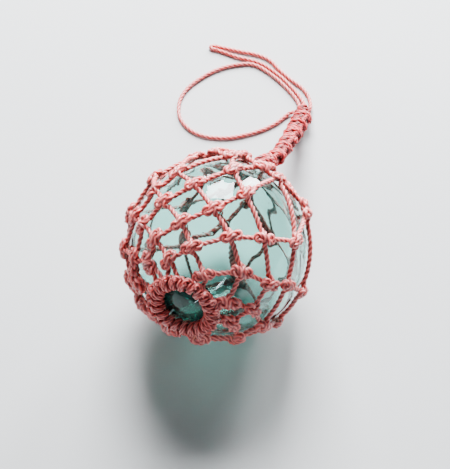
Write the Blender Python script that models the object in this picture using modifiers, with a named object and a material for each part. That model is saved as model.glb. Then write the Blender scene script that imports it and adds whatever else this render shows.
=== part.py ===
"""Glass fishing float in a knotted twine net, with a sennit handle and a free loop of twine.

Metres, +Z up. The origin is on the floor, at the flat of the knot that the float rests on.
+X is to the right and +Y is away from the viewer.
"""

import cmath
import math

import bmesh
import bpy
from mathutils import Vector

# Glass ball and its seal
BALL_RADIUS = 0.090
SEAL_RADIUS = 0.016
SEAL_HEIGHT = 0.003
SEAL_ROUNDING = 0.0025
SEAL_CROWN_RADIUS = 0.0096
SEAL_CROWN_FALL = 0.0006
BALL_STEPS = 26
BALL_ARC_POINTS = 13

# Where the ball sits over the floor: its centre, and the height that squashes the knots under it
BALL_CENTRE_X = 0.026
BALL_CENTRE_HEIGHT = 0.094

# Twine, and the gaps that keep the pieces apart
TWINE_RADIUS = 0.00225
PIECE_GAP = 0.0003
LEG_SLACK = 0.0002

# Net axis: the direction from the ball's centre that the rows of knots go round
BASE_AZIMUTH = -117.0
BASE_ELEVATION = 12.0

# The rows are drawn together off the net's axis, at this angle from it and this longitude about it
GATHER_COLATITUDE = 158.0
GATHER_LONGITUDE = 122.0

# Diamond mesh: knots to a row, and each row's angle from the base before the net is drawn together
NET_COLUMNS = 9
FIRST_COLUMN_LONGITUDE = 63.0
ROW_COLATITUDES = (32.0, 45.0, 58.0, 73.0, 88.0, 111.0, 130.0, 151.0)

# Knots that slipped as the net was tied: (row, half column) to degrees of angle and longitude
SLIPPED_KNOTS = {
    (1, 2): (0, 7), (1, 14): (1, 8), (1, 16): (1, -3),
    (2, 1): (-1, 4), (2, 3): (1, 4), (2, 5): (-4, 2), (2, 17): (4, -3),
    (3, 0): (3, 0), (3, 14): (-5, -5), (3, 16): (1, -6),
    (4, 5): (-4, -7), (4, 15): (-5, 3),
    (5, 0): (4, 5), (5, 4): (-3, -5), (5, 14): (-8, 3),
    (6, 3): (-9, 0), (6, 15): (1, 15), (6, 17): (13, 8),
    (7, 2): (3, -8), (7, 4): (12, 3), (7, 16): (-5, -9),
}

# The three knots that the float rests on, by where they meet the floor
FLOOR_KNOTS = {(5, 10): (0.0, 0.0), (4, 11): (0.0255, -0.0265), (6, 11): (0.0455, 0.0185)}

# Knots: two lobes and a waist, drawn out along the twine that runs through them
KNOT_LENGTH = 0.017
KNOT_LOBE_RADIUS = 0.0048
KNOT_WAIST_RADIUS = 0.0037
KNOT_LOBE_SHARE = 0.28
LEG_START_ACROSS = 0.0026

# Base ring: a grommet covered in hitches. It and the glass seal in it sit a little off the net's axis.
RING_AZIMUTH = -112.0
RING_ELEVATION = 14.4
RING_COLATITUDE = 17.0
RING_TUBE_RADIUS = 0.0070
RING_HITCH_RELIEF = 0.0009
RING_HITCHES = 20
RING_LEG_SPREAD = 9.0

# Gather: doubled twine from the last row to the handle's root, a little to one side of where the rows draw in
ROOT_AZIMUTH = 66.3
ROOT_ELEVATION = 10.1
GATHER_TWINE_RADIUS = 0.0026
GATHER_SHARES = (0.36, 0.68, 1.0)

# Sennit handle: its centreline from the gather to its free end, and its radius along it
HANDLE_ROUTE = (
    (0.0785, 0.1045, 0.0980), (0.0873, 0.1215, 0.0840), (0.0975, 0.1545, 0.0610),
    (0.1070, 0.1880, 0.0375), (0.1145, 0.2170, 0.0172), (0.1185, 0.2310, 0.0111),
    (0.1215, 0.2410, 0.0104),
)
HANDLE_ROOT_RADIUS = 0.0078
HANDLE_MIDDLE_RADIUS = 0.0088
HANDLE_END_RADIUS = 0.0108
HANDLE_WRAPS = 14
HANDLE_WRAP_RELIEF = 0.0008
HANDLE_END_ROUNDING = 0.0022

# Free twine: three runs that leave the handle and lie on the floor, and the nub that joins two.
# A point with no height of its own is where the twine lies on the floor.
CORD_SPACING = 0.0125
CORD_HEIGHT = 0.00235
OUTER_ROUTE = (
    (0.1263, 0.2403, 0.0080), (0.1278, 0.2460, 0.0062), (0.1280, 0.2540, 0.0035),
    (0.1258, 0.2650), (0.1190, 0.2770), (0.1065, 0.2890),
    (0.0940, 0.3030), (0.0860, 0.3140), (0.0780, 0.3210),
    (0.0670, 0.3260), (0.0510, 0.3300), (0.0350, 0.3345),
    (0.0235, 0.3375),
)
INNER_ROUTE = (
    (0.1206, 0.2425, 0.0082), (0.1212, 0.2482, 0.0062), (0.1195, 0.2560, 0.0035),
    (0.1150, 0.2660), (0.1075, 0.2775), (0.0970, 0.2910),
    (0.0850, 0.3030), (0.0735, 0.3120), (0.0620, 0.3172),
    (0.0460, 0.3220), (0.0330, 0.3280), (0.0225, 0.3325),
)
OVAL_ROUTE = (
    (0.1095, 0.2405, 0.0050), (0.1040, 0.2395, 0.0030), (0.0985, 0.2350),
    (0.0900, 0.2270), (0.0800, 0.2205), (0.0700, 0.2155),
    (0.0560, 0.2105), (0.0400, 0.2065), (0.0240, 0.2060),
    (0.0070, 0.2090), (-0.0080, 0.2180), (-0.0180, 0.2330),
    (-0.0200, 0.2490), (-0.0170, 0.2640), (-0.0080, 0.2790),
    (0.0060, 0.2920), (0.0190, 0.3010), (0.0350, 0.3080),
    (0.0500, 0.3113), (0.0610, 0.3116), (0.0710, 0.3075),
    (0.0815, 0.2990), (0.0932, 0.2872), (0.1036, 0.2740),
    (0.1103, 0.2638), (0.1140, 0.2560, 0.00260), (0.1157, 0.2490, 0.0044),
    (0.1154, 0.2437, 0.0062),
)
NUB_ROUTE = (
    (0.02315, 0.33765), (0.0195, 0.3384), (0.0164, 0.3375),
    (0.0158, 0.3355), (0.0176, 0.3340), (0.0220, 0.33275),
)

# Working sizes: what is welded as one point, and the steps along a smooth curve
WELD_DISTANCE = 0.000001
CURVE_STEPS = 12

# Colours: linear RGB
GLASS_COLOUR = (0.62, 0.84, 0.80, 1.0)
TWINE_COLOUR = (0.80, 0.20, 0.16, 1.0)
SENNIT_COLOUR = (0.84, 0.27, 0.22, 1.0)
CORD_COLOUR = (0.85, 0.30, 0.25, 1.0)

BALL_CENTRE = Vector((BALL_CENTRE_X, 0.0, BALL_CENTRE_HEIGHT))
KNOT_CENTRE_RADIUS = BALL_RADIUS + PIECE_GAP + KNOT_LOBE_RADIUS
LEG_CENTRE_RADIUS = BALL_RADIUS + PIECE_GAP + LEG_SLACK + TWINE_RADIUS
RING_CENTRE_RADIUS = BALL_RADIUS + PIECE_GAP + RING_TUBE_RADIUS + LEG_SLACK


def clear_scene():
    for obj in list(bpy.data.objects):
        bpy.data.objects.remove(obj, do_unlink=True)


def new_collection(name):
    collection = bpy.data.collections.new(name)
    bpy.context.scene.collection.children.link(collection)
    return collection


def new_material(name, colour, roughness, transmission=0.0):
    material = bpy.data.materials.new(name)
    material.use_nodes = True
    shader = material.node_tree.nodes["Principled BSDF"]
    shader.inputs["Base Color"].default_value = colour
    shader.inputs["Roughness"].default_value = roughness
    shader.inputs["Metallic"].default_value = 0.0
    shader.inputs["Transmission Weight"].default_value = transmission
    return material


# Directions on the ball, in radians: an angle from an axis, and a longitude about it

def axes_at(azimuth, elevation):
    """An axis out of the ball, with the level one beside it and the one square to both."""
    a, e = math.radians(azimuth), math.radians(elevation)
    out = Vector((math.cos(e) * math.cos(a), math.cos(e) * math.sin(a), math.sin(e)))
    side = Vector((0, 0, 1)).cross(out).normalized()
    return out, side, out.cross(side)


NET_AXES = axes_at(BASE_AZIMUTH, BASE_ELEVATION)
RING_AXES = axes_at(RING_AZIMUTH, RING_ELEVATION)
ROOT_AXIS = axes_at(ROOT_AZIMUTH, ROOT_ELEVATION)[0]


def on_ball(axes, colatitude, longitude):
    out, side, top = axes
    across = math.cos(longitude) * side + math.sin(longitude) * top
    return math.cos(colatitude) * out + math.sin(colatitude) * across


def drawn_together(colatitude, longitude):
    """An even net's angles after its far end is pulled to the gather: a conformal slide that keeps the base."""
    flat = math.tan(colatitude / 2) * cmath.exp(1j * longitude)
    gather = math.tan(math.radians(GATHER_COLATITUDE) / 2) * cmath.exp(1j * math.radians(GATHER_LONGITUDE))
    slid = flat / (1 + flat / gather)
    return 2 * math.atan(abs(slid)), cmath.phase(slid)


def half_columns(row):
    """Each row is half a column round from the last."""
    return range((row + 1) % 2, 2 * NET_COLUMNS, 2)


def knot_direction(row, half):
    half %= 2 * NET_COLUMNS
    if (row, half) in FLOOR_KNOTS:
        x, y = FLOOR_KNOTS[row, half]
        return (Vector((x, y, 0)) - BALL_CENTRE).normalized()
    longitude = math.radians(FIRST_COLUMN_LONGITUDE + half * 180 / NET_COLUMNS)
    colatitude, longitude = drawn_together(math.radians(ROW_COLATITUDES[row - 1]), longitude)
    slip, turn = SLIPPED_KNOTS.get((row, half), (0, 0))
    return on_ball(NET_AXES, colatitude + math.radians(slip), longitude + math.radians(turn))


def between(a, b, share):
    """The direction at a share of the arc from a to b."""
    return a.slerp(b, share)


def tangent(at, towards):
    """Unit vector along the ball at one direction, heading for another."""
    return (towards - at * towards.dot(at)).normalized()


# Building blocks

def tube(name, collection, runs, radius, sides_level, cyclic=False):
    """One curve object with a run of points and radius factors for each length of twine in it."""
    curve = bpy.data.curves.new(name, "CURVE")
    curve.dimensions = "3D"
    curve.bevel_depth = radius
    curve.bevel_resolution = sides_level
    curve.use_fill_caps = not cyclic
    curve.resolution_u = 1
    for points, factors in runs:
        spline = curve.splines.new("POLY")
        spline.points.add(len(points) - 1)
        spline.use_cyclic_u = cyclic
        for point, place, factor in zip(spline.points, points, factors):
            point.co = (*place, 1.0)
            point.radius = factor
    obj = bpy.data.objects.new(name, curve)
    collection.objects.link(obj)
    return obj


def as_mesh(obj, collection):
    """The curve made a mesh, with its caps welded on, so that it can take a Boolean."""
    bpy.context.view_layer.update()
    evaluated = obj.evaluated_get(bpy.context.evaluated_depsgraph_get())
    mesh = bpy.data.meshes.new_from_object(evaluated)
    weld(mesh)
    name, place, old = obj.name, obj.matrix_world.copy(), obj.data
    bpy.data.objects.remove(obj, do_unlink=True)
    bpy.data.curves.remove(old)
    made = bpy.data.objects.new(name, mesh)
    made.matrix_world = place
    collection.objects.link(made)
    return made


def weld(mesh):
    shape = bmesh.new()
    shape.from_mesh(mesh)
    bmesh.ops.remove_doubles(shape, verts=shape.verts, dist=WELD_DISTANCE)
    bmesh.ops.recalc_face_normals(shape, faces=shape.faces)
    shape.to_mesh(mesh)
    shape.free()


def boolean(obj, operation, other):
    modifier = obj.modifiers.new(operation.title(), "BOOLEAN")
    modifier.operation = operation
    modifier.solver = "MANIFOLD"
    modifier.object = other
    return modifier


def as_cutter(obj):
    obj.hide_render = True
    obj.display_type = "WIRE"
    return obj


def placed(route):
    """A route's points, with those that lie on the floor given their height."""
    return [Vector(p) if len(p) == 3 else Vector((*p, CORD_HEIGHT)) for p in route]


def spread(route, spacing):
    """Points about a spacing apart on the smooth curve through a route's own points."""
    points = placed(route)
    ends = [2 * points[0] - points[1], *points, 2 * points[-1] - points[-2]]
    fine = [points[0]]
    for before, a, b, after in zip(ends, ends[1:], ends[2:], ends[3:]):
        for k in range(1, CURVE_STEPS + 1):
            t = k / CURVE_STEPS
            fine.append(0.5 * (2 * a + t * (b - before) + t * t * (2 * before - 5 * a + 4 * b - after)
                               + t ** 3 * (3 * a - before - 3 * b + after)))
    lengths = [0.0]
    for a, b in zip(fine, fine[1:]):
        lengths.append(lengths[-1] + (b - a).length)
    count = max(2, round(lengths[-1] / spacing))
    even, at = [], 0
    for k in range(count + 1):
        wanted = lengths[-1] * k / count
        while at < len(lengths) - 2 and lengths[at + 1] < wanted:
            at += 1
        share = (wanted - lengths[at]) / (lengths[at + 1] - lengths[at])
        even.append(fine[at].lerp(fine[at + 1], share))
    return even


# Sub-parts

def glass_float(collection):
    """The blown ball, turned about the ring's axis, with the raised seal in the ring."""
    seal_edge = SEAL_RADIUS + SEAL_ROUNDING
    edge_angle = math.asin(seal_edge / BALL_RADIUS)
    seal_top = BALL_RADIUS + SEAL_HEIGHT
    profile = [(0.0, seal_top), (SEAL_CROWN_RADIUS, seal_top - SEAL_CROWN_FALL),
               (SEAL_RADIUS, seal_top - SEAL_ROUNDING)]
    for k in range(BALL_ARC_POINTS + 1):
        angle = edge_angle + (math.pi - edge_angle) * k / BALL_ARC_POINTS
        profile.append((BALL_RADIUS * math.sin(angle), BALL_RADIUS * math.cos(angle)))
    profile[-1] = (0.0, -BALL_RADIUS)
    mesh = bpy.data.meshes.new("glass_float")
    edges = [(k, k + 1) for k in range(len(profile) - 1)]
    mesh.from_pydata([(x, 0.0, z) for x, z in profile], edges, [])
    obj = bpy.data.objects.new("glass_float", mesh)
    collection.objects.link(obj)
    screw = obj.modifiers.new("Turn", "SCREW")
    screw.steps = screw.render_steps = BALL_STEPS
    screw.use_merge_vertices = True
    screw.merge_threshold = 0.00001
    screw.use_smooth_shade = True
    obj.rotation_mode = "QUATERNION"
    obj.rotation_quaternion = Vector((0, 0, 1)).rotation_difference(RING_AXES[0])
    obj.location = BALL_CENTRE
    return obj


def base_ring(collection):
    """The grommet round the seal. Each hitch round it is a rise in its tube."""
    turns = 2 * RING_HITCHES
    angle = math.radians(RING_COLATITUDE)
    ways = [on_ball(RING_AXES, angle, 2 * math.pi * k / turns) for k in range(turns)]
    points = [BALL_CENTRE + RING_CENTRE_RADIUS * way for way in ways]
    hollow = 1 - RING_HITCH_RELIEF / RING_TUBE_RADIUS
    factors = [1.0 if k % 2 == 0 else hollow for k in range(turns)]
    return tube("base_ring", collection, [(points, factors)], RING_TUBE_RADIUS, 1, cyclic=True)


def leg_middle(a, b, start, height):
    """The middle of a leg from a to b with its ends as far out as start: none where it clears the glass."""
    half_span = a.angle(b) / 2 - math.atan2(start.dot(tangent(a, b)), start.dot(a))
    clear = height - LEG_SLACK
    if start.length * math.cos(half_span) >= clear:
        return []
    return [between(a, b, 0.5) * max(height, 2 * clear / math.cos(half_span / 2) - start.length)]


def through_run(half):
    """One twine of the net from the base ring to the handle, leaning back a half column at each row.

    Each knot on it is two lobes and a waist, drawn out along the twine. A knot close to the ring has
    no length of thin twine before it.
    """
    rows = len(ROW_COLATITUDES)
    stops = [ring_foot(half, 1)] + [knot_direction(row, half + 1 - row) for row in range(1, rows + 1)]
    whole = stops[-1].angle(ROOT_AXIS)
    root_clearance = HANDLE_ROOT_RADIUS + GATHER_TWINE_RADIUS / 2 + 2 * PIECE_GAP
    stops.append(between(stops[-1], ROOT_AXIS, 1 - root_clearance / LEG_CENTRE_RADIUS / whole))
    gather_height = LEG_CENTRE_RADIUS + GATHER_TWINE_RADIUS - TWINE_RADIUS
    points, radii = [LEG_CENTRE_RADIUS * stops[0]], [TWINE_RADIUS]
    for before, knot, after in zip(stops, stops[1:], stops[2:]):
        if before.angle(knot) * KNOT_CENTRE_RADIUS > KNOT_LENGTH / 2 + TWINE_RADIUS:
            points.append(knot * LEG_CENTRE_RADIUS + tangent(knot, before) * (KNOT_LENGTH / 2))
            radii.append(TWINE_RADIUS)
        for way, share, height, radius in (
                (before, KNOT_LOBE_SHARE, KNOT_CENTRE_RADIUS, KNOT_LOBE_RADIUS),
                (before, 0.0, KNOT_CENTRE_RADIUS, KNOT_WAIST_RADIUS),
                (after, KNOT_LOBE_SHARE, KNOT_CENTRE_RADIUS, KNOT_LOBE_RADIUS),
                (after, 0.5, LEG_CENTRE_RADIUS, TWINE_RADIUS)):
            place = knot * height + tangent(knot, way) * (KNOT_LENGTH * share)
            points.append(place)
            radii.append(radius)
        if after is not stops[-1]:
            points += leg_middle(knot, after, points[-1], LEG_CENTRE_RADIUS)
            radii += [TWINE_RADIUS] * (len(points) - len(radii))
    points += [gather_height * between(stops[-2], stops[-1], share) for share in GATHER_SHARES]
    radii += [GATHER_TWINE_RADIUS] * len(GATHER_SHARES)
    return [BALL_CENTRE + p for p in points], [r / TWINE_RADIUS for r in radii]


def ring_foot(half, lean):
    """Where a leg of the first row meets the base ring, to one side of its knot."""
    _, side, top = RING_AXES
    knot = knot_direction(1, half)
    longitude = math.atan2(knot.dot(top), knot.dot(side)) + math.radians(lean * RING_LEG_SPREAD)
    reach = math.radians(RING_COLATITUDE) + (RING_TUBE_RADIUS + 2 * PIECE_GAP) / BALL_RADIUS
    return on_ball(RING_AXES, reach, longitude)


def crossing_leg(a, b, end):
    """A leg from the waist of knot a to the waist of knot b, or to the ring where end is 0."""
    arc = a.angle(b) * KNOT_CENTRE_RADIUS
    start = KNOT_CENTRE_RADIUS * between(a, b, LEG_START_ACROSS / arc)
    finish = (KNOT_CENTRE_RADIUS if end else LEG_CENTRE_RADIUS) * between(a, b, 1 - end / arc)
    points = [BALL_CENTRE + p for p in (start, *leg_middle(a, b, start, LEG_CENTRE_RADIUS), finish)]
    return points, [1.0] * len(points)


def crossing_legs():
    """Every leg that leans the other way."""
    runs = [crossing_leg(knot_direction(1, half), ring_foot(half, -1), 0.0) for half in half_columns(1)]
    for row in range(1, len(ROW_COLATITUDES)):
        for half in half_columns(row):
            a, b = knot_direction(row, half), knot_direction(row + 1, half + 1)
            runs.append(crossing_leg(a, b, LEG_START_ACROSS))
    return runs


def twine_net(collection, cutters):
    """The knotted net: twines that run through the knots, the legs that cross them, and flats on the floor."""
    through = [through_run(half) for half in half_columns(1)]
    net = as_mesh(tube("twine_net", collection, through, TWINE_RADIUS, 0), collection)
    legs = as_cutter(as_mesh(tube("crossing_legs", cutters, crossing_legs(), TWINE_RADIUS, 0), cutters))
    boolean(net, "UNION", legs)
    boolean(net, "DIFFERENCE", floor_block(cutters))
    return net


def floor_block(cutters):
    """What lies under the floor: a cube four ball radii across."""
    bpy.ops.mesh.primitive_cube_add(size=4 * BALL_RADIUS, location=(BALL_CENTRE_X, 0, -2 * BALL_RADIUS))
    block = bpy.context.active_object
    block.name = "floor_block"
    for collection in list(block.users_collection):
        collection.objects.unlink(block)
    cutters.objects.link(block)
    return as_cutter(block)


def handle_sennit(collection):
    """The plaited handle: thickest at its free end, with a rise for each wrap."""
    root = BALL_CENTRE + ROOT_AXIS * (BALL_RADIUS + 3 * PIECE_GAP)
    neck = BALL_CENTRE + ROOT_AXIS * (BALL_RADIUS + HANDLE_ROOT_RADIUS + TWINE_RADIUS)
    count = 2 * HANDLE_WRAPS
    route = [root, neck, *(Vector(p) for p in HANDLE_ROUTE)]
    length = sum((b - a).length for a, b in zip(route, route[1:]))
    points = spread(route, length / count)
    factors = []
    for k in range(len(points)):
        share = k / (len(points) - 1)
        middle = HANDLE_ROOT_RADIUS + (HANDLE_MIDDLE_RADIUS - HANDLE_ROOT_RADIUS) * min(1, 2 * share)
        radius = middle + (HANDLE_END_RADIUS - HANDLE_MIDDLE_RADIUS) * max(0, 2 * share - 1)
        relief = HANDLE_WRAP_RELIEF if k % 2 else 0.0
        factors.append((radius - relief) / HANDLE_END_RADIUS)
    factors[-1] -= HANDLE_END_ROUNDING / HANDLE_END_RADIUS
    return tube("handle_sennit", collection, [(points, factors)], HANDLE_END_RADIUS, 2)


def free_cord(name, route, collection):
    points = spread(route, CORD_SPACING)
    return tube(name, collection, [(points, [1.0] * len(points))], TWINE_RADIUS, 2)


def loop_nub(collection):
    """The hard nub where the ends of two cords are melted together."""
    points = placed(NUB_ROUTE)
    return tube("loop_nub", collection, [(points, [1.0] * len(points))], TWINE_RADIUS, 2)


def main():
    clear_scene()
    float_parts = new_collection("glass_float_ball")
    cutters = new_collection("cutters")
    glass = new_material("sea_glass", GLASS_COLOUR, 0.05, transmission=1.0)
    twine = new_material("net_twine", TWINE_COLOUR, 0.8)
    sennit = new_material("sennit_twine", SENNIT_COLOUR, 0.8)
    cord = new_material("loop_twine", CORD_COLOUR, 0.75)
    parts = [
        (glass_float(float_parts), glass),
        (base_ring(float_parts), twine),
        (twine_net(float_parts, cutters), twine),
        (handle_sennit(float_parts), sennit),
        (free_cord("loop_outer", OUTER_ROUTE, float_parts), cord),
        (free_cord("loop_inner", INNER_ROUTE, float_parts), cord),
        (free_cord("loop_oval", OVAL_ROUTE, float_parts), cord),
        (loop_nub(float_parts), cord),
    ]
    for obj, material in parts:
        obj.data.materials.clear()
        obj.data.materials.append(material)


main()
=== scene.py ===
import cmath
import math
import random

import bpy
import numpy as np
from mathutils import Matrix, Vector


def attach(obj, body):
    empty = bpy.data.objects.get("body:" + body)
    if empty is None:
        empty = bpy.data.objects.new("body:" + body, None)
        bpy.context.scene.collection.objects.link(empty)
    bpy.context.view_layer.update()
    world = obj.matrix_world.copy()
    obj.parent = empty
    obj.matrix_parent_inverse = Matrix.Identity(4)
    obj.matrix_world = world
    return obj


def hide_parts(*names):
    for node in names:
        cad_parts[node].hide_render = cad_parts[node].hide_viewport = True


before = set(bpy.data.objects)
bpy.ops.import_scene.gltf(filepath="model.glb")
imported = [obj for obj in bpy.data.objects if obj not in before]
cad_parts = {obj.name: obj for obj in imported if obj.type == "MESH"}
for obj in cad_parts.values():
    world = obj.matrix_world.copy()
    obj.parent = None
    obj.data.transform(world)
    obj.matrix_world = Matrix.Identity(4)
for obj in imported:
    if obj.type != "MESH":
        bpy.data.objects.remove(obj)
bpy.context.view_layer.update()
print("frame loaded")

# where the ball is, in metres, as the solids have it; the net, ring and handle are set out from it
ball = {
    "centre": Vector((0.026, 0.0, 0.094)),
    "radius": 0.090,
}

view = {
    "place": (0.0320, -0.9661, 1.5547),
    "down": 56.11,          # degrees that the camera looks down
    "lens": 134.25,
    "sensor": 36.0,
    "nearest": 0.01,        # anything nearer to it isn't drawn
}


def placeCamera():
    camera = bpy.data.objects.new("camera", bpy.data.cameras.new("camera"))
    camera.data.lens = view["lens"]
    camera.data.sensor_width = view["sensor"]
    camera.data.clip_start = view["nearest"]
    camera.location = view["place"]
    camera.rotation_euler = (math.radians(90 - view["down"]), 0, 0)
    bpy.context.scene.collection.objects.link(camera)
    bpy.context.scene.camera = camera


placeCamera()
print("camera placed")


class Value:
    # a socket that sums can be written with: each sum makes its own node
    def __init__(self, finish, socket):
        self.finish, self.socket = finish, socket

    def maths(self, operation, *terms):
        return self.finish.node("ShaderNodeMath", {"operation": operation}, dict(enumerate(terms)))

    def __add__(self, other):
        return self.maths("ADD", self, other)

    def __sub__(self, other):
        return self.maths("SUBTRACT", self, other)

    def __rsub__(self, other):
        return self.maths("SUBTRACT", other, self)

    def __mul__(self, other):
        return self.maths("MULTIPLY", self, other)

    def __pow__(self, other):
        return self.maths("POWER", self, other)

    def __rpow__(self, other):
        return self.maths("POWER", other, self)

    __radd__ = __add__
    __rmul__ = __mul__

    def sine(self):
        return self.maths("SINE", self)

    def clamped(self):
        return self.finish.node("ShaderNodeClamp", {}, {"Value": self})


class Finish:
    # one material, with the nodes that feed its shader
    def __init__(self, name, plain):
        self.material = bpy.data.materials.new(name)
        self.material.use_nodes = True
        self.tree = self.material.node_tree
        self.shader = self.tree.nodes["Principled BSDF"]
        self.surface(plain)

    def feed(self, node, inputs):
        for key, value in inputs.items():
            socket = node.inputs[key]
            if isinstance(value, Value):
                self.tree.links.new(value.socket, socket)
            else:
                socket.default_value = (*value, 1.0) if socket.type == "RGBA" else value

    def node(self, kind, settings, inputs, output=0):
        made = self.tree.nodes.new(kind)
        for key, value in settings.items():
            setattr(made, key, value)
        self.feed(made, inputs)
        return Value(self, made.outputs[output])

    def blend(self, share, first, second):
        # two colours by a share
        return self.node("ShaderNodeMix", {"data_type": "RGBA"}, {0: share, 6: first, 7: second}, output=2)

    def surface(self, inputs):
        self.feed(self.shader, inputs)


# what every finish of twine has in common
yarn = {
    "count": 22,                        # yarns round one twine
    "fibreScale": (60.0, 26.0, 1.0),    # the fibres' pattern, along the twine and round it
    "patchScale": 38.0,
    "patchFrom": 0.42, "patchShare": 0.35,
    # painted highlights: how much the fibres, the yarns and each strand's crest are made pale
    "paleFibres": 0.75, "paleYarns": 0.25,
    "crestFall": 3, "crestPale": 0.55, "paleFrom": 0.58,
    "deepFall": 1.3,                    # how soon a groove turns to painted shade
    "strandHeight": 0.35, "yarnHeight": 0.3, "fibreHeight": 0.5,
    "bump": 0.55, "bumpDepth": 0.0004,
    "rough": 0.32, "grooveRough": 0.3, "fibreRough": 0.14,
    "coatRough": 0.22,
    "soak": 0.5,                        # how much light soaks into the yarns, and how deep for each colour
    "soakColour": (1.0, 0.35, 0.28), "soakDepth": 0.005,
}


def twineFinish(name, look):
    # laid twine: painted shade in the grooves between strands, painted highlights along the yarns and the
    # strands' crests
    made = Finish(name, {
        "Metallic": 0.0, "Specular IOR Level": look["sheen"],
        "Coat Weight": look["sheen"], "Coat Roughness": yarn["coatRough"],
        "Subsurface Weight": yarn["soak"], "Subsurface Radius": yarn["soakColour"],
        "Subsurface Scale": yarn["soakDepth"],
    })
    along = made.node("ShaderNodeUVMap", {"uv_map": "twine"}, {})
    # the groove attribute holds painted shade: the lay's grooves, the gaps between turns, and the net's
    # sides; it also roughens and bumps the surface
    groove = made.node("ShaderNodeAttribute", {"attribute_name": "groove"}, {}, output=2)
    place = made.node("ShaderNodeTexCoord", {}, {}, output=3)
    roundIt = made.node("ShaderNodeSeparateXYZ", {}, {"Vector": along}, output=1)
    yarns = (roundIt * (2 * math.pi * yarn["count"])).sine() * 0.5 + 0.5
    stretched = made.node("ShaderNodeMapping", {}, {"Vector": along, "Scale": yarn["fibreScale"]})
    fibres = made.node("ShaderNodeTexNoise", {}, {
        "Vector": stretched, "Scale": 1.0, "Detail": 3.0, "Roughness": 0.6})
    patches = made.node("ShaderNodeTexNoise", {}, {
        "Vector": place, "Scale": yarn["patchScale"], "Detail": 3.0})
    # painted highlight: pale along the fibres and yarns
    light = (fibres * yarn["paleFibres"] + yarns * yarn["paleYarns"]).clamped()
    patch = ((patches - yarn["patchFrom"]) * look["worn"] + yarn["patchShare"]).clamped()
    top = made.blend(patch, look["body"], look["pale"])
    # painted highlight along each strand's crest
    crest = (1 - groove) ** yarn["crestFall"]
    lit = made.blend((light + crest * yarn["crestPale"] - yarn["paleFrom"]).clamped(), top, look["pale"])
    # painted shade, darkest deep in the grooves
    deep = (groove ** yarn["deepFall"]).clamped()
    height = (1 - groove) * yarn["strandHeight"] + yarns * yarn["yarnHeight"] + fibres * yarn["fibreHeight"]
    made.surface({
        "Base Color": made.blend(deep, lit, look["deep"]),
        "Roughness": yarn["rough"] + groove * yarn["grooveRough"] + (1 - fibres) * yarn["fibreRough"],
        "Normal": made.node("ShaderNodeBump", {}, {
            "Strength": yarn["bump"], "Distance": yarn["bumpDepth"], "Height": height}),
    })
    return made.material


# what the ball's glass and the seal's have in common
blown = {
    "swirlScale": (14.0, 34.0, 60.0),   # drawn out most along the first way
    "swirlTurn": (0.4, 0.3, 0.9),
    "broadScale": 22.0,
    "seedScale": 85.0, "seedEdge": 9.0,
    "swirlHeight": 0.5, "broadHeight": 0.8, "seedHeight": 0.35,
    "bumpDepth": 0.0012,
}


def glassFinish(name, look):
    # blown glass: plain see-through values, with swirls and seeds pressed into its surface
    made = Finish(name, {
        "Base Color": look["tint"], "Roughness": look["rough"], "IOR": look["bends"],
        "Transmission Weight": 1.0, "Metallic": 0.0, "Specular IOR Level": 0.5,
    })
    place = made.node("ShaderNodeTexCoord", {}, {}, output=3)
    drawn = made.node("ShaderNodeMapping", {}, {
        "Vector": place, "Scale": blown["swirlScale"], "Rotation": blown["swirlTurn"]})
    swirls = made.node("ShaderNodeTexNoise", {}, {
        "Vector": drawn, "Scale": 1.0, "Detail": 2.5, "Distortion": 0.6})
    broad = made.node("ShaderNodeTexNoise", {}, {
        "Vector": place, "Scale": blown["broadScale"], "Detail": 1.5})
    seeds = made.node("ShaderNodeTexVoronoi", {}, {"Vector": place, "Scale": blown["seedScale"]})
    pits = (1 - seeds * blown["seedEdge"]).clamped()
    height = swirls * blown["swirlHeight"] + broad * blown["broadHeight"] + pits * blown["seedHeight"]
    made.surface({"Normal": made.node("ShaderNodeBump", {}, {
        "Strength": look["streaks"], "Distance": blown["bumpDepth"], "Height": height})})
    return made.material


# in each finish, deep is the painted shade colour, and pale serves both random worn patches and painted
# highlights
netFinish = twineFinish("netTwineFinish", {
    "body": (0.96, 0.042, 0.036), "pale": (1.0, 0.30, 0.28), "deep": (0.24, 0.004, 0.004),
    "worn": 1.3, "sheen": 0.6})
sennitFinish = twineFinish("sennitTwineFinish", {
    "body": (0.60, 0.008, 0.009), "pale": (0.90, 0.085, 0.10), "deep": (0.07, 0.001, 0.001),
    "worn": 1.6, "sheen": 0.25})
loopFinish = twineFinish("loopTwineFinish", {
    "body": (0.94, 0.050, 0.044), "pale": (1.0, 0.33, 0.31), "deep": (0.24, 0.004, 0.004),
    "worn": 1.2, "sheen": 0.5})
ballFinish = glassFinish("seaGlassFinish", {
    "tint": (0.54, 0.85, 0.80), "rough": 0.02, "bends": 1.5, "streaks": 0.16})
sealFinish = glassFinish("sealGlassFinish", {
    "tint": (0.045, 0.120, 0.110), "rough": 0.04, "bends": 1.42, "streaks": 0.7})
print("finishes made")

twine = {
    "radius": 0.00225,
    "netRadius": 0.00272,       # on the net, so that its lobed section looks as wide as the real one
    "strands": 3,
    "sides": 12,
    "step": 0.00125,            # from one ring of points to the next
    "layLength": 0.0170,        # one whole turn of a strand
    "grooveDepth": 0.29, "grooveFall": 1.5,
    "endShade": 0.5, "endWide": 0.1,    # how dark a cut end is, and how much of the yarns' map it takes
    "legHeight": 0.09300,       # ball's centre to the twine's, on the glass
    "floorGap": 0.00015,
    "shadeBelow": 0.0941, "shadeDepth": 0.0034,     # nearer the ball's centre, the net is painted in shade
    "lightSide": 0.0002, "lightDepth": 0.0013,      # but against the glass that painted shade lifts again
    "lightShade": 0.1,
}


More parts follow.
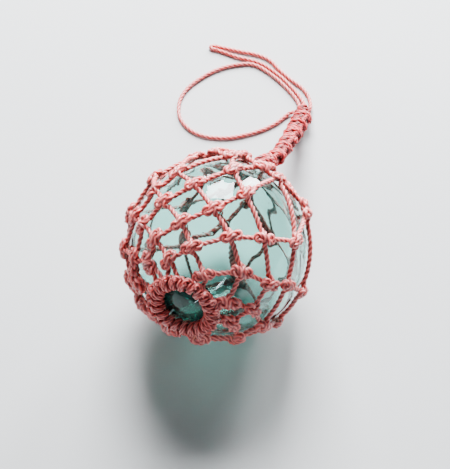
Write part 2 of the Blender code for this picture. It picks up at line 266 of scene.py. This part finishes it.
class Pile:
    # lengths of twine gathered into one mesh
    def __init__(self):
        self.points, self.faces, self.uv, self.groove, self.count = [], [], [], [], 0

    def laid(self, path, radii, turn=0.0, depth=twine["grooveDepth"], shaded=False):
        # laid twine along a path: one lobed ring of points a step, turned as the strands lie
        sides = twine["sides"]
        path, radii = evenly(path, radii, twine["step"])
        across, over = carried(path)
        run = runAlong(path)
        twist = turn + 2 * np.pi * run / twine["layLength"]
        around = np.arange(sides) * 2 * np.pi / sides
        dip = np.abs(np.sin(twine["strands"] / 2 * around)) ** twine["grooveFall"]
        lobe = 1 - depth * dip
        angle = around[None, :] + twist[:, None]
        reach = (radii[:, None] * lobe[None, :])[:, :, None]
        ring = path[:, None, :] + reach * (np.cos(angle)[:, :, None] * across[:, None, :]
                                           + np.sin(angle)[:, :, None] * over[:, None, :])
        # shaded twine is painted all in the shade colour
        self.skin(ring, path, run, twist, np.ones(sides) if shaded else dip)

    def skin(self, ring, path, run, twist, dip):
        # faces between the rings, with the run along the twine and the turn round it as their map
        rows, sides = ring.shape[:2]
        index = self.count + np.arange(rows * sides).reshape(rows, sides)
        beside = np.roll(index, -1, axis=1)
        quads = np.stack([index[:-1], beside[:-1], beside[1:], index[1:]], axis=-1).reshape(-1, 4)
        column = np.arange(sides) / sides
        here = np.repeat(run[:-1, None], sides, axis=1)
        there = np.repeat(run[1:, None], sides, axis=1)
        left = column[None, :] + twist[:-1, None] / (2 * np.pi)
        leftNext = column[None, :] + twist[1:, None] / (2 * np.pi)
        wide = 1 / sides
        corners = np.stack([
            np.stack([here, left], -1), np.stack([here, left + wide], -1),
            np.stack([there, leftNext + wide], -1), np.stack([there, leftNext], -1)], axis=2)
        self.points.append(ring.reshape(-1, 3))
        self.faces += quads.tolist()
        self.uv.append(corners.reshape(-1, 2))
        self.groove.append(np.tile(dip, rows))
        self.count += rows * sides
        for row, middle, outward in ((0, path[0], False), (rows - 1, path[-1], True)):
            self.cap(index[row], middle, outward, run[row])

    def cap(self, loop, middle, outward, at):
        # closes an end of the twine round its middle
        self.points.append(np.array([middle]))
        self.groove.append(np.array([twine["endShade"]]))
        tip = self.count
        self.count += 1
        for a, b in zip(loop, np.roll(loop, -1)):
            self.faces.append([int(a), int(b), tip] if outward else [int(b), int(a), tip])
            self.uv.append(np.array([[at, 0.0], [at, twine["endWide"]], [at, twine["endWide"] / 2]]))

    def made(self, name, finish, slot, paintedShade, floor=None):
        # the painted shade given for each point: how deep it lies between the turns, from 0 to 1
        points = np.concatenate(self.points)
        if floor is not None:
            points[:, 2] = np.maximum(points[:, 2], floor)
        groove = np.maximum(np.concatenate(self.groove), paintedShade(points)).astype(np.float32)
        mesh = smoothMesh(name, points.tolist(), self.faces, finish)
        mesh.uv_layers.new(name="twine").data.foreach_set(
            "uv", np.concatenate(self.uv).ravel().astype(np.float32))
        mesh.attributes.new("groove", "FLOAT", "POINT").data.foreach_set("value", groove)
        return placed(name, mesh)


def smoothMesh(name, points, faces, finish):
    mesh = bpy.data.meshes.new(name)
    mesh.from_pydata(points, [], faces)
    mesh.polygons.foreach_set("use_smooth", [True] * len(mesh.polygons))
    mesh.materials.append(finish)
    return mesh


def placed(name, mesh):
    obj = bpy.data.objects.new(name, mesh)
    bpy.context.scene.collection.objects.link(obj)
    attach(obj, "root")
    return obj


def aboveAll(points):
    return np.zeros(len(points))


def paintedShadeRound(core, reach, depth):
    # painted shade by how far under the crests of the turns round a middle line
    lots = 60       # measured in this many lots, to save memory

    def measured(points):
        share = []
        for lot in np.array_split(points, lots):
            apart = np.linalg.norm(lot[:, None, :] - core[None, :, :], axis=2)
            near = apart.argmin(axis=1)
            share.append((reach[near] - apart[np.arange(len(lot)), near]) / depth)
        return np.clip(np.concatenate(share), 0, 1)
    return measured


def paintedShadeOnBall(points):
    # painted shade between the turns and beside the glass, but not on the side that shows through the glass
    height = np.linalg.norm(points - np.array(ball["centre"]), axis=1)
    share = np.clip((twine["shadeBelow"] - height) / twine["shadeDepth"], 0, 1)
    clear = (height - ball["radius"] - twine["lightSide"]) / twine["lightDepth"]
    return share * np.clip(clear, twine["lightShade"], 1)


def runAlong(path):
    # how far along the path each of its points is
    return np.concatenate([[0.0], np.cumsum(np.linalg.norm(np.diff(path, axis=0), axis=1))])


def evenly(path, radii, step):
    # the same path with its points a step apart, and none doubled
    path, radii = np.asarray(path, float), np.asarray(radii, float)
    doubled = 1e-7
    keep = np.concatenate([[True], np.linalg.norm(np.diff(path, axis=0), axis=1) > doubled])
    path, radii = path[keep], radii[keep]
    run = runAlong(path)
    wanted = np.linspace(0, run[-1], max(3, round(run[-1] / step) + 1))
    return (np.stack([np.interp(wanted, run, path[:, k]) for k in range(3)], axis=1),
            np.interp(wanted, run, radii))


def carried(path, start=(0.31, 0.52, 0.79)):
    # two directions square to the path, carried along it without turning
    ahead = np.gradient(path, axis=0)
    ahead /= np.linalg.norm(ahead, axis=1)[:, None]
    across = np.empty_like(path)
    start = np.array(start)
    for k, way in enumerate(ahead):
        start = start - way * start.dot(way)
        start /= np.linalg.norm(start)
        across[k] = start
    return across, np.cross(ahead, across)


def smoothRoute(route, steps=12):
    # the smooth curve through a route's own points
    points = [Vector(p) for p in route]
    ends = [2 * points[0] - points[1], *points, 2 * points[-1] - points[-2]]
    fine = [points[0]]
    for before, a, b, after in zip(ends, ends[1:], ends[2:], ends[3:]):
        for k in range(1, steps + 1):
            t = k / steps
            fine.append(0.5 * (2 * a + t * (b - before) + t * t * (2 * before - 5 * a + 4 * b - after)
                               + t ** 3 * (3 * a - before - 3 * b + after)))
    return np.array([list(p) for p in fine])


def softened(path, rounds):
    # takes the corners off a path
    path = np.asarray(path, float).copy()
    for _ in range(rounds):
        path[1:-1] = 0.25 * path[:-2] + 0.5 * path[1:-1] + 0.25 * path[2:]
    return path


# free twine, which lies where its solids lie
loops = {
    "lie": 0.00235,             # a route's point with no height lies on the floor, this high
    "grooveDepth": 0.24,
    "outer": (
        (0.1263, 0.2403, 0.0080), (0.1278, 0.2460, 0.0062), (0.1280, 0.2540, 0.0035), (0.1258, 0.2650),
        (0.1190, 0.2770), (0.1065, 0.2890), (0.0940, 0.3030), (0.0860, 0.3140), (0.0780, 0.3210),
        (0.0670, 0.3260), (0.0510, 0.3300), (0.0350, 0.3345), (0.0235, 0.3375)),
    "inner": (
        (0.1206, 0.2425, 0.0082), (0.1212, 0.2482, 0.0062), (0.1195, 0.2560, 0.0035), (0.1150, 0.2660),
        (0.1075, 0.2775), (0.0970, 0.2910), (0.0850, 0.3030), (0.0735, 0.3120), (0.0620, 0.3172),
        (0.0460, 0.3220), (0.0330, 0.3280), (0.0225, 0.3325)),
    "oval": (
        (0.1095, 0.2405, 0.0050), (0.1040, 0.2395, 0.0030), (0.0985, 0.2350), (0.0900, 0.2270),
        (0.0800, 0.2205), (0.0700, 0.2155), (0.0560, 0.2105), (0.0400, 0.2065), (0.0240, 0.2060),
        (0.0070, 0.2090), (-0.0080, 0.2180), (-0.0180, 0.2330), (-0.0200, 0.2490), (-0.0170, 0.2640),
        (-0.0080, 0.2790), (0.0060, 0.2920), (0.0190, 0.3010), (0.0350, 0.3080), (0.0500, 0.3113),
        (0.0610, 0.3116), (0.0710, 0.3075), (0.0815, 0.2990), (0.0932, 0.2872), (0.1036, 0.2740),
        (0.1103, 0.2638), (0.1140, 0.2560, 0.00260), (0.1157, 0.2490, 0.0044), (0.1154, 0.2437, 0.0062)),
}
melted = {
    "route": (
        (0.02315, 0.33765), (0.0195, 0.3384), (0.0164, 0.3375), (0.0158, 0.3355), (0.0176, 0.3340),
        (0.0220, 0.33275)),
    "ends": 0.92, "middle": 0.20, "lumps": 0.05, "lumpPitch": 17,   # shares of the twine's radius
    "grooveDepth": 0.12,
}


def loopRoute(points):
    return smoothRoute([p if len(p) == 3 else (*p, loops["lie"]) for p in points])


def meltedNub():
    # the two cut ends, melted together: a lump with a hard skin
    pile = Pile()
    route = loopRoute(melted["route"])
    share = np.linspace(0, 1, len(route))
    radii = twine["radius"] * (melted["ends"] + melted["middle"] * np.sin(np.pi * share)
                               + melted["lumps"] * np.sin(melted["lumpPitch"] * share))
    pile.laid(route, radii, depth=melted["grooveDepth"])
    obj = pile.made("loopNub", loopFinish, "loop_twine", aboveAll, floor=twine["floorGap"])
    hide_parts("loop_nub")
    return obj


def freeTwine(name, node, route):
    pile = Pile()
    pile.laid(route, [twine["radius"]] * len(route), depth=loops["grooveDepth"])
    obj = pile.made(name, loopFinish, "loop_twine", aboveAll)
    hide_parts(node)


nub = meltedNub()
freeTwine("loopOuter", "loop_outer", loopRoute(loops["outer"]))
freeTwine("loopInner", "loop_inner", loopRoute(loops["inner"]))
freeTwine("loopOval", "loop_oval", loopRoute(loops["oval"]))
print("free twine laid")

# the net, in degrees where it isn't in metres; a knot is named by its row and its half column
net = {
    "base": (-117.0, 12.0),     # azimuth and elevation of the axis that the rows go round
    "ring": (-112.0, 14.4),     # of the ring and the seal
    "root": (66.3, 10.1),       # of the handle's root
    "gatherAngle": 158.0, "gatherLongitude": 122.0,
    "columns": 9, "firstLongitude": 63.0,
    "rows": (32.0, 45.0, 58.0, 73.0, 88.0, 111.0, 130.0, 151.0),
    "slipped": {                # knots that slipped as the net was tied: away from the base, and round it
        (1, 2): (0, 7), (1, 14): (1, 8), (1, 16): (1, -3),
        (2, 1): (-1, 4), (2, 3): (1, 4), (2, 5): (-4, 2), (2, 17): (4, -3),
        (3, 0): (3, 0), (3, 14): (-5, -5), (3, 16): (1, -6),
        (4, 5): (-4, -7), (4, 15): (-5, 3),
        (5, 0): (4, 5), (5, 4): (-3, -5), (5, 14): (-8, 3),
        (6, 3): (-9, 0), (6, 15): (1, 15), (6, 17): (13, 8),
        (7, 2): (3, -8), (7, 4): (12, 3), (7, 16): (-5, -9),
    },
    "onFloor": {(5, 10): (0.0, 0.0), (4, 11): (0.0255, -0.0265), (6, 11): (0.0455, 0.0185)},
    "knotHeight": 0.0951,       # ball's centre to a knot's
    "riseOver": 0.011,          # how far from a knot the twine starts to climb it
    "climb": 0.8,               # how much of a knot's height it climbs
    "squeeze": 0.72,            # how thin the turns press the twine that runs through them
    "legSamples": 26,
    "softenThrough": (3, 2), "softenCrossing": (1, 3),      # rounds that soften a path, and its radii
    "legGap": 0.001,            # how far short of a knot a twine that runs through it leaves off
    "rootGap": 0.004,           # and how far short of the handle's root
    "rootAside": 0.0042,        # how far beside the root the other twines end
    "ringAngle": 17.0, "ringTube": 0.0070, "ringHeight": 0.0975,
    "footSpread": 9.0,          # how far each foot on the ring stands from under its knot
    "footIn": 0.08, "footUnder": 0.002,     # how far a foot goes in under the ring, and below its middle
}


def axesAt(azimuth, elevation):
    # an axis out of the ball, with the level one beside it and the one square to both
    a, e = math.radians(azimuth), math.radians(elevation)
    out = Vector((math.cos(e) * math.cos(a), math.cos(e) * math.sin(a), math.sin(e)))
    side = Vector((0, 0, 1)).cross(out).normalized()
    return out, side, out.cross(side)


netAxes, ringAxes, rootAxis = axesAt(*net["base"]), axesAt(*net["ring"]), axesAt(*net["root"])[0]


def onBall(axes, angle, longitude):
    out, side, top = axes
    return (math.cos(angle) * out
            + math.sin(angle) * (math.cos(longitude) * side + math.sin(longitude) * top))


def drawnTogether(angle, longitude):
    # even rows slid over the ball, so that their far pole comes to the gather
    flat = math.tan(angle / 2) * cmath.exp(1j * longitude)
    far = math.tan(math.radians(net["gatherAngle"]) / 2)
    gather = far * cmath.exp(1j * math.radians(net["gatherLongitude"]))
    slid = flat / (1 + flat / gather)
    return 2 * math.atan(abs(slid)), cmath.phase(slid)


def knotAt(row, half):
    half %= 2 * net["columns"]
    if (row, half) in net["onFloor"]:
        x, y = net["onFloor"][row, half]
        return (Vector((x, y, 0)) - ball["centre"]).normalized()
    longitude = math.radians(net["firstLongitude"] + half * 180 / net["columns"])
    angle, longitude = drawnTogether(math.radians(net["rows"][row - 1]), longitude)
    slip, turn = net["slipped"].get((row, half), (0, 0))
    return onBall(netAxes, angle + math.radians(slip), longitude + math.radians(turn))


def ringFoot(half, lean):
    # where a twine starts on the ring, a little to one side of its first knot
    _, side, top = ringAxes
    first = knotAt(1, half)
    longitude = math.atan2(first.dot(top), first.dot(side)) + math.radians(lean * net["footSpread"])
    return onBall(ringAxes, math.radians(net["ringAngle"]) + net["ringTube"] / ball["radius"], longitude)


def footPoint(foot):
    return foot.lerp(ringAxes[0], net["footIn"]).normalized() * (net["ringHeight"] - net["footUnder"])


def tangent(at, towards):
    return (towards - at * towards.dot(at)).normalized()


def stopsAlong(half, lean):
    # the knots on one twine, with its foot on the ring and the handle's root at its ends
    rows = range(1, len(net["rows"]) + 1)
    return [ringFoot(half, lean), *(knotAt(row, half + lean * (1 - row)) for row in rows), rootAxis]


def legPoints(a, b, start, end):
    # along the glass from start to end, in metres short of each knot, climbing near them
    arc = a.angle(b) * twine["legHeight"]
    points = []
    for k in range(net["legSamples"] + 1):
        run = start + (arc - start - end) * k / net["legSamples"]
        near = min(run, arc - run)
        climb = max(0.0, 1 - near / net["riseOver"]) ** 2
        height = twine["legHeight"] + climb * (net["knotHeight"] - twine["legHeight"]) * net["climb"]
        points.append(a.slerp(b, run / arc) * height)
    return points


# knots: the crossing twine goes round the other in two lobes, with one turn between them
knot = {
    # one knot's twine in mm: along the twine that it is tied on, towards the leg that it comes from, and
    # out from the glass
    "route": (
        (-0.8, 5.2, -0.6), (-0.9, 3.4, 1.3), (0.4, 0.9, 2.6), (2.9, -1.7, 2.2), (5.6, -2.8, 1.0),
        (7.4, -1.6, 0.3), (7.7, 0.8, 0.5), (6.2, 2.7, 1.3), (3.7, 2.7, 1.5), (1.5, 1.2, -0.6),
        (-1.2, -1.2, -1.2), (-3.9, -2.7, 0.9), (-6.2, -2.5, 1.3), (-7.7, -0.5, 0.6), (-7.1, 1.9, 0.4),
        (-5.2, 2.8, 1.2), (-2.7, 1.6, 2.4), (-0.4, -1.0, 2.7), (0.7, -3.3, 1.2), (0.5, -5.2, -0.8)),
    "steps": 4,                 # points of its curve for each point of its route
    "twineRadius": 0.00262,
    "reach": 0.0078,            # where the legs leave off and the turns begin
    "uneven": 0.35,             # mm that each point may stray
    "sway": 0.16,               # how far a knot may turn on its twine
    "mirrored": 0.35,           # share of the knots that are tied the other way round
    "sizes": (1.06, 1.2),
    "large": {(1, 0): 1.16, (1, 4): 1.25, (1, 6): 1.5, (1, 8): 1.5, (1, 10): 1.35, (1, 14): 1.35,
              (1, 16): 1.3, (2, 15): 1.15, (3, 14): 1.35, (2, 13): 1.2},
}
chance = random.Random(41)


def knotTurns(at, along, upward, size, mirrored):
    # along lies on the twine that the knot goes round, and upward is the side its own twine comes from
    upward = (upward - along * upward.dot(along)).normalized()
    if mirrored:
        along = -along
    points = []
    for x, y, z in knot["route"]:
        stray = [chance.uniform(-1, 1) * knot["uneven"] for _ in range(3)]
        x, y, z = (size * (v + s) / 1000 for v, s in zip((x, y, z), stray))
        points.append(at * (net["knotHeight"] + z) + along * x + upward * y)
    return [Vector(p) for p in smoothRoute(points, knot["steps"])]


def fromBall(path):
    return [list(ball["centre"] + Vector(p)) for p in path]


def throughTwines():
    # the twines that run straight through the knots
    pile = Pile()
    for half in range(0, 2 * net["columns"], 2):
        stops = stopsAlong(half, 1)
        foot = stops[0]
        path, radii = [footPoint(foot)], [twine["netRadius"]]
        for a, b in zip(stops, stops[1:]):
            leg = legPoints(a, b, 0.0 if a is foot else net["legGap"],
                            net["rootGap"] if b is rootAxis else net["legGap"])
            path += leg
            arc = a.angle(b)
            for k in range(len(leg)):
                share = k / (len(leg) - 1)
                near = min(share if a is not foot else 1.0, 1 - share) * arc * twine["legHeight"]
                radii.append(twine["netRadius"] * (net["squeeze"] if near < knot["reach"] else 1.0))
        pathRounds, radiiRounds = net["softenThrough"]
        pile.laid(fromBall(softened(path, pathRounds)), softened(radii, radiiRounds), turn=half)
    return pile


def crossingTwines():
    # the twines that are tied on the others, one knot at each
    pile = Pile()
    for half in range(0, 2 * net["columns"], 2):
        stops = stopsAlong(half, -1)
        foot = stops[0]
        path, radii = [footPoint(foot)], [twine["netRadius"]]
        for row, (before, at) in enumerate(zip(stops, stops[1:-1]), start=1):
            column = (half - 1 + row) % (2 * net["columns"])
            size = knot["large"].get((row, column), chance.uniform(*knot["sizes"]))
            last = knotAt(row - 1, column + 1) if row > 1 else ringFoot(column, 1)
            following = knotAt(row + 1, column - 1) if row < len(net["rows"]) else rootAxis
            along = (tangent(at, following) - tangent(at, last)).normalized()
            along = (along + at.cross(along) * chance.uniform(-knot["sway"], knot["sway"])).normalized()
            leg = legPoints(before, at, 0.0 if before is foot else knot["reach"], knot["reach"])
            turns = knotTurns(at, along, tangent(at, before), size, chance.random() < knot["mirrored"])
            path += leg + turns
            radii += [twine["netRadius"]] * len(leg) + [knot["twineRadius"] * size] * len(turns)
        aside = at.cross(rootAxis).normalized() * net["rootAside"]
        leg = [p + aside for p in legPoints(at, rootAxis, knot["reach"], net["rootGap"])]
        path += leg
        radii += [twine["netRadius"]] * len(leg)
        pathRounds, radiiRounds = net["softenCrossing"]
        pile.laid(fromBall(softened(path, pathRounds)), softened(radii, radiiRounds), turn=half)
    return pile


for name, pile in (("netTwineThrough", throughTwines()), ("netTwineCrossing", crossingTwines())):
    obj = pile.made(name, netFinish, "net_twine", paintedShadeOnBall, floor=twine["floorGap"])
    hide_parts("twine_net")
    print(name, "tied:", len(obj.data.polygons), "faces")

# hitches: twine wound in groups round a core, with a ridge of curls where each hitch locks
# of the wraps, lean and slope tilt the turns, swell and fan spread a group that faces the ridge, and drift
# makes the groups uneven; of the ridge, angle and turn are its line, and sway, curl and bump its curls
hitch = {
    "turnStep": 15,                         # degrees from one point of a turn to the next
    "ridgeStep": 0.0005,                    # metres from one point of the ridge to the next
    "driftPitch": 0.17,                     # how slowly the groups of turns close up and open out
    "farSwell": 0.25,                       # how much of the swell is left away from the ridge
    "strayPitches": (0.37, 0.113),
    "thicker": 0.06, "thickerPitch": 0.29,  # how unevenly thick the turns are
    "wander": 0.12, "wanderPitch": 0.43,    # how far the ridge wanders off its line
    "ridgeTurn": 1.0,                       # how its own strands are turned at its start
    "coreGrooves": 0.05,
}


def windHitches(pile, core, across, over, reach, wraps, ridge):
    # core is the middle line; reach the distance of the turns from it, one for each of its points
    run = runAlong(core)
    length = run[-1]

    def at(place, angle, out):
        place = np.clip(place, 0, length)

        def read(v):
            return np.stack([np.interp(place, run, v[:, k]) for k in range(3)], axis=1)
        distance = (np.interp(place, run, reach) + out)[:, None]
        return read(core) + distance * (np.cos(angle)[:, None] * read(across)
                                        + np.sin(angle)[:, None] * read(over))

    # the turns: they close up into groups, and lean and swell as the group goes by
    group, spacing = wraps["group"], wraps["spacing"]
    angle = np.arange(0, 2 * np.pi * length / spacing, math.radians(hitch["turnStep"]))
    bunch = angle / group + wraps["drift"] * np.sin(angle * hitch["driftPitch"])
    facing = 0.5 + 0.5 * np.cos(angle - ridge["angle"] - ridge["turn"] * angle / angle[-1])
    place = angle / (2 * np.pi) * spacing - wraps["fan"] * np.sin(bunch) * facing
    lean = wraps["lean"] * np.sin(bunch) + wraps["slope"] * np.cos(angle - wraps["from"])
    swell = wraps["swell"] * np.cos(bunch) * (hitch["farSwell"] + (1 - hitch["farSwell"]) * facing)
    slow, slower = hitch["strayPitches"]
    stray = wraps["uneven"] * np.sin(angle * slow + 1) * np.sin(angle * slower)
    radii = wraps["radius"] * (1 + hitch["thicker"] * np.sin(angle * hitch["thickerPitch"]))
    pile.laid(at(place + lean, angle, swell + stray), radii)

    # the ridge: one curl for each group
    units = length / (spacing * group)
    phase = np.linspace(0, 2 * np.pi * units, int(length / hitch["ridgeStep"]))
    along = length * phase / phase[-1] - ridge["curl"] * np.sin(phase)
    phase = phase + wraps["drift"] * np.sin(phase * group * hitch["driftPitch"])
    sway = ridge["angle"] + ridge["turn"] * phase / phase[-1] + ridge["sway"] * np.cos(phase)
    sway += hitch["wander"] * np.sin(phase * hitch["wanderPitch"])
    lift = ridge["lift"] + ridge["bump"] * np.cos(phase + ridge["ahead"])
    pile.laid(at(along, sway, lift), np.full(len(along), ridge["radius"]), turn=hitch["ridgeTurn"])


ring = {
    "points": 241,
    "core": 0.0043,
    "proud": 0.0007,                        # how far the turns stand out of the solid's tube
    "shadeUnder": 0.0019, "shadeDepth": 0.0026,
    "wraps": {"group": 2, "count": 40, "radius": 0.00215, "lean": 0.0012, "slope": 0.0005, "from": 0.0,
              "swell": 0.0004, "fan": 0.0, "drift": 0.0, "uneven": 0.0006},
    "ridge": {"angle": 0.30, "turn": 0.0, "sway": 0.40, "curl": 0.0021, "lift": 0.0020, "bump": 0.0012,
              "ahead": 0.8, "radius": 0.0024},
}


def baseRing():
    angle = np.linspace(0, 2 * np.pi, ring["points"])
    middle = math.radians(net["ringAngle"])
    axis, side, top = ringAxes
    out = np.array([list(math.cos(a) * side + math.sin(a) * top) for a in angle])
    up = np.tile(np.array(axis), (len(angle), 1))
    wide = net["ringHeight"] * math.sin(middle)
    core = np.array(ball["centre"] + axis * (net["ringHeight"] * math.cos(middle))) + out * wide
    wraps = dict(ring["wraps"], spacing=2 * math.pi * wide / ring["wraps"]["count"])
    reach = np.full(len(angle), net["ringTube"] - wraps["radius"] + ring["proud"])
    pile = Pile()
    windHitches(pile, core, out, up, reach, wraps, ring["ridge"])
    # the core shows only in the gaps between the turns, and is painted all in shade
    pile.laid(core, np.full(len(core), ring["core"]), depth=hitch["coreGrooves"], shaded=True)
    obj = pile.made("hitchedRing", netFinish, "net_twine",
                    paintedShadeRound(core, reach + ring["shadeUnder"], ring["shadeDepth"]))
    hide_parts("base_ring")


baseRing()
print("ring hitched")

handle = {
    "route": (
        (0.0785, 0.1045, 0.0980), (0.0873, 0.1215, 0.0840), (0.0975, 0.1545, 0.0610),
        (0.1070, 0.1880, 0.0375), (0.1145, 0.2170, 0.0172), (0.1185, 0.2310, 0.0111),
        (0.1215, 0.2410, 0.0104)),
    "rootRadius": 0.0078, "middleRadius": 0.0088, "endRadius": 0.0108,
    "rootLift": 0.0009,                     # how far off the glass its middle line starts
    "step": 0.002,
    "facing": (1.0, 0.0, 0.2),              # the way that its turns are counted from
    "closesOver": 0.045, "closes": 0.55,    # share of its length where the end closes, and how much
    "proud": 0.0002,
    "coreIn": 0.0014,                       # how far the core stays inside the turns' middle
    "shadeUnder": 0.0037, "shadeDepth": 0.0024,
    "wraps": {"group": 4, "spacing": 0.0066, "radius": 0.00325, "lean": 0.0012, "slope": 0.0026,
              "from": 0.6, "swell": 0.0016, "fan": 0.0040, "drift": 0.8, "uneven": 0.0008},
    "ridge": {"angle": -0.75, "turn": 0.30, "sway": 0.42, "curl": 0.0078, "lift": 0.0013, "bump": 0.0016,
              "ahead": 0.2, "radius": 0.0030},
}


def handleSennit():
    root = ball["centre"] + rootAxis * (ball["radius"] + handle["rootLift"])
    neck = ball["centre"] + rootAxis * (ball["radius"] + handle["rootRadius"] + twine["radius"])
    core = smoothRoute([root, neck, *handle["route"]])
    core, _ = evenly(core, np.ones(len(core)), handle["step"])
    share = np.linspace(0, 1, len(core))
    thin, middle, thick = handle["rootRadius"], handle["middleRadius"], handle["endRadius"]
    outside = (thin + (middle - thin) * np.minimum(1, 2 * share)
               + (thick - middle) * np.maximum(0, 2 * share - 1))
    closing = np.clip((share - 1 + handle["closesOver"]) / handle["closesOver"], 0, 1)
    reach = (outside + handle["proud"] - handle["wraps"]["radius"]) * (1 - handle["closes"] * closing ** 2)
    across, over = carried(core, handle["facing"])
    pile = Pile()
    windHitches(pile, core, across, over, reach, handle["wraps"], handle["ridge"])
    # the core shows only in the gaps between the turns, and is painted all in shade
    pile.laid(core, reach - handle["coreIn"], depth=hitch["coreGrooves"], shaded=True)
    obj = pile.made("handleSennit", sennitFinish, "sennit_twine",
                    paintedShadeRound(core, reach + handle["shadeUnder"], handle["shadeDepth"]),
                    floor=twine["floorGap"])
    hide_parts("handle_sennit")


handleSennit()
print("handle wound")

# glass: a thin blown wall, closed by a thicker seal at the base
wall = {
    "thickness": 0.0042,
    "sunk": 0.00018,            # how far inside the solid's surface the glass stays
    "wobble": 0.00010,          # how uneven it is outside
    "ripple": 0.00042,          # how uneven it is inside
    "around": 160, "rows": 96,
    "waves": (((1, 0.3, 0.2), 5.1), ((-0.2, 1, 0.5), 8.3), ((0.4, -0.5, 1), 13.7), ((1, 1, -0.3), 19.1)),
    "outerShift": 1.0, "innerShift": 4.0,
}


def bands(rings, around):
    # the faces between each ring of points and the next
    faces = []
    for a, b in ((row * around, (row + 1) * around) for row in range(rings - 1)):
        for k in range(around):
            after = (k + 1) % around
            faces.append((a + k, b + k, b + after, a + after))
    return faces


def ballSkin(radius, ripple, shift):
    # points and outward faces of one side of the wall, turned about the base axis
    rows, around = wall["rows"], wall["around"]
    points = []
    for row in range(1, rows):
        for k in range(around):
            way = onBall(ringAxes, math.pi * row / rows, 2 * math.pi * k / around)
            swell = sum(math.sin(way.dot(Vector(wave)) * pitch + shift * n) / (n + 1)
                        for n, (wave, pitch) in enumerate(wall["waves"]))
            points.append(ball["centre"] + way * (radius + ripple * swell))
    first, last = len(points), len(points) + 1
    points += (ball["centre"] + ringAxes[0] * radius, ball["centre"] - ringAxes[0] * radius)
    faces = bands(rows - 1, around)
    for k in range(around):
        after = (k + 1) % around
        faces.append((k, after, first))
        faces.append(((rows - 2) * around + after, (rows - 2) * around + k, last))
    return [list(p) for p in points], faces


def glassBall():
    outer, faces = ballSkin(ball["radius"] - wall["sunk"], wall["wobble"], wall["outerShift"])
    inner, innerFaces = ballSkin(ball["radius"] - wall["thickness"], wall["ripple"], wall["innerShift"])
    faces += [tuple(i + len(outer) for i in reversed(face)) for face in innerFaces]
    obj = placed("glassBall", smoothMesh("glassBall", outer + inner, faces, ballFinish))
    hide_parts("glass_float")


# the lump of glass that closed the blow-hole, spread by the paddle
seal = {
    # distance from the axis, and height over the ball
    "profile": (
        (0.0000, 0.0031), (0.0030, 0.00305), (0.0065, 0.0028), (0.0100, 0.0026), (0.0130, 0.0022),
        (0.0155, 0.0014), (0.0180, 0.0007), (0.0210, 0.0004), (0.0260, 0.0003), (0.0290, 0.0002),
        (0.0300, -0.0006), (0.0260, -0.0016), (0.0180, -0.0026), (0.0, -0.0030)),
    "around": 72,
    "swirls": ((0.00012, 3, 500), (0.00008, 7, -900)),     # height, folds round it, and turn outwards
    "outOfRound": 0.02, "outOfRoundFrom": 0.7,
}


def sealButton():
    axis, side, top = ringAxes
    points = []
    for across, height in seal["profile"]:
        fall = math.sqrt(ball["radius"] ** 2 - across ** 2)
        for k in range(seal["around"]):
            a = 2 * math.pi * k / seal["around"]
            swirl = sum(size * math.sin(folds * a + across * turn) for size, folds, turn in seal["swirls"])
            uneven = 1 + seal["outOfRound"] * math.sin(2 * a + seal["outOfRoundFrom"])
            way = math.cos(a) * side + math.sin(a) * top
            points.append(list(ball["centre"] + way * across * uneven + axis * (fall + height + swirl)))
    faces = bands(len(seal["profile"]), seal["around"])
    obj = placed("glassSeal", smoothMesh("glassSeal", points, faces, sealFinish))
    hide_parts("glass_float")


glassBall()
sealButton()
print("glass blown")

room = {
    "floorCorners": ((-3, -3, 0), (3, -3, 0), (3, 4, 0), (-3, 4, 0)),
    "floorColours": ((0.50, 0.505, 0.51), (0.55, 0.55, 0.55)), "floorClouds": 3.0,
    "sky": (0.88, 0.94, 1.0, 1.0), "skyStrength": 0.15,
    "lights": {
        "skyBehind": {"place": (0.05, 1.56, 1.43), "aim": (0.03, 0.0, 0.1), "size": (1.0, 1.5),
                      "power": 300, "colour": (0.94, 0.97, 1.0)},
        "skyRight": {"place": (0.98, 1.74, 0.72), "aim": (0.03, 0.0, 0.1), "size": (0.45, 0.9),
                     "power": 95, "colour": (0.94, 0.97, 1.0)},
        "fillLeft": {"place": (-1.6, -0.6, 1.2), "aim": (0.03, 0.05, 0.1), "size": (1.2, 1.2),
                     "power": 3.5, "colour": (1.0, 0.98, 0.95)},
        "lowFront": {"place": (-0.06, -1.9, 0.24), "aim": (0.03, 0.0, 0.1), "size": (0.07, 0.8),
                     "power": 5, "colour": (0.75, 0.92, 1.0), "roll": -35},
    },
}


def floorSheet():
    made = Finish("palePlain", {"Roughness": 0.7, "Specular IOR Level": 0.2})
    place = made.node("ShaderNodeTexCoord", {}, {}, output=3)
    cloud = made.node("ShaderNodeTexNoise", {}, {
        "Vector": place, "Scale": room["floorClouds"], "Detail": 2.0})
    made.surface({"Base Color": made.blend(cloud, *room["floorColours"])})
    mesh = bpy.data.meshes.new("floor")
    mesh.from_pydata(room["floorCorners"], [], [(0, 1, 2, 3)])
    mesh.materials.append(made.material)
    obj = bpy.data.objects.new("floor", mesh)
    bpy.context.scene.collection.objects.link(obj)


def softLight(name, place, aim, size, power, colour, roll=0.0):
    lamp = bpy.data.lights.new(name, "AREA")
    lamp.shape = "RECTANGLE"
    lamp.size, lamp.size_y = size
    lamp.energy = power
    lamp.color = colour
    obj = bpy.data.objects.new(name, lamp)
    obj.location = place
    facing = (Vector(aim) - Vector(place)).to_track_quat("-Z", "Y").to_matrix()
    obj.rotation_euler = (facing @ Matrix.Rotation(math.radians(roll), 3, "Z")).to_euler()
    obj.visible_camera = False
    bpy.context.scene.collection.objects.link(obj)


def lightRoom():
    world = bpy.data.worlds.new("room")
    world.use_nodes = True
    sky = world.node_tree.nodes["Background"]
    sky.inputs["Color"].default_value = room["sky"]
    sky.inputs["Strength"].default_value = room["skyStrength"]
    bpy.context.scene.world = world
    for name, settings in room["lights"].items():
        softLight(name, **settings)


floorSheet()
lightRoom()
print("room lit")
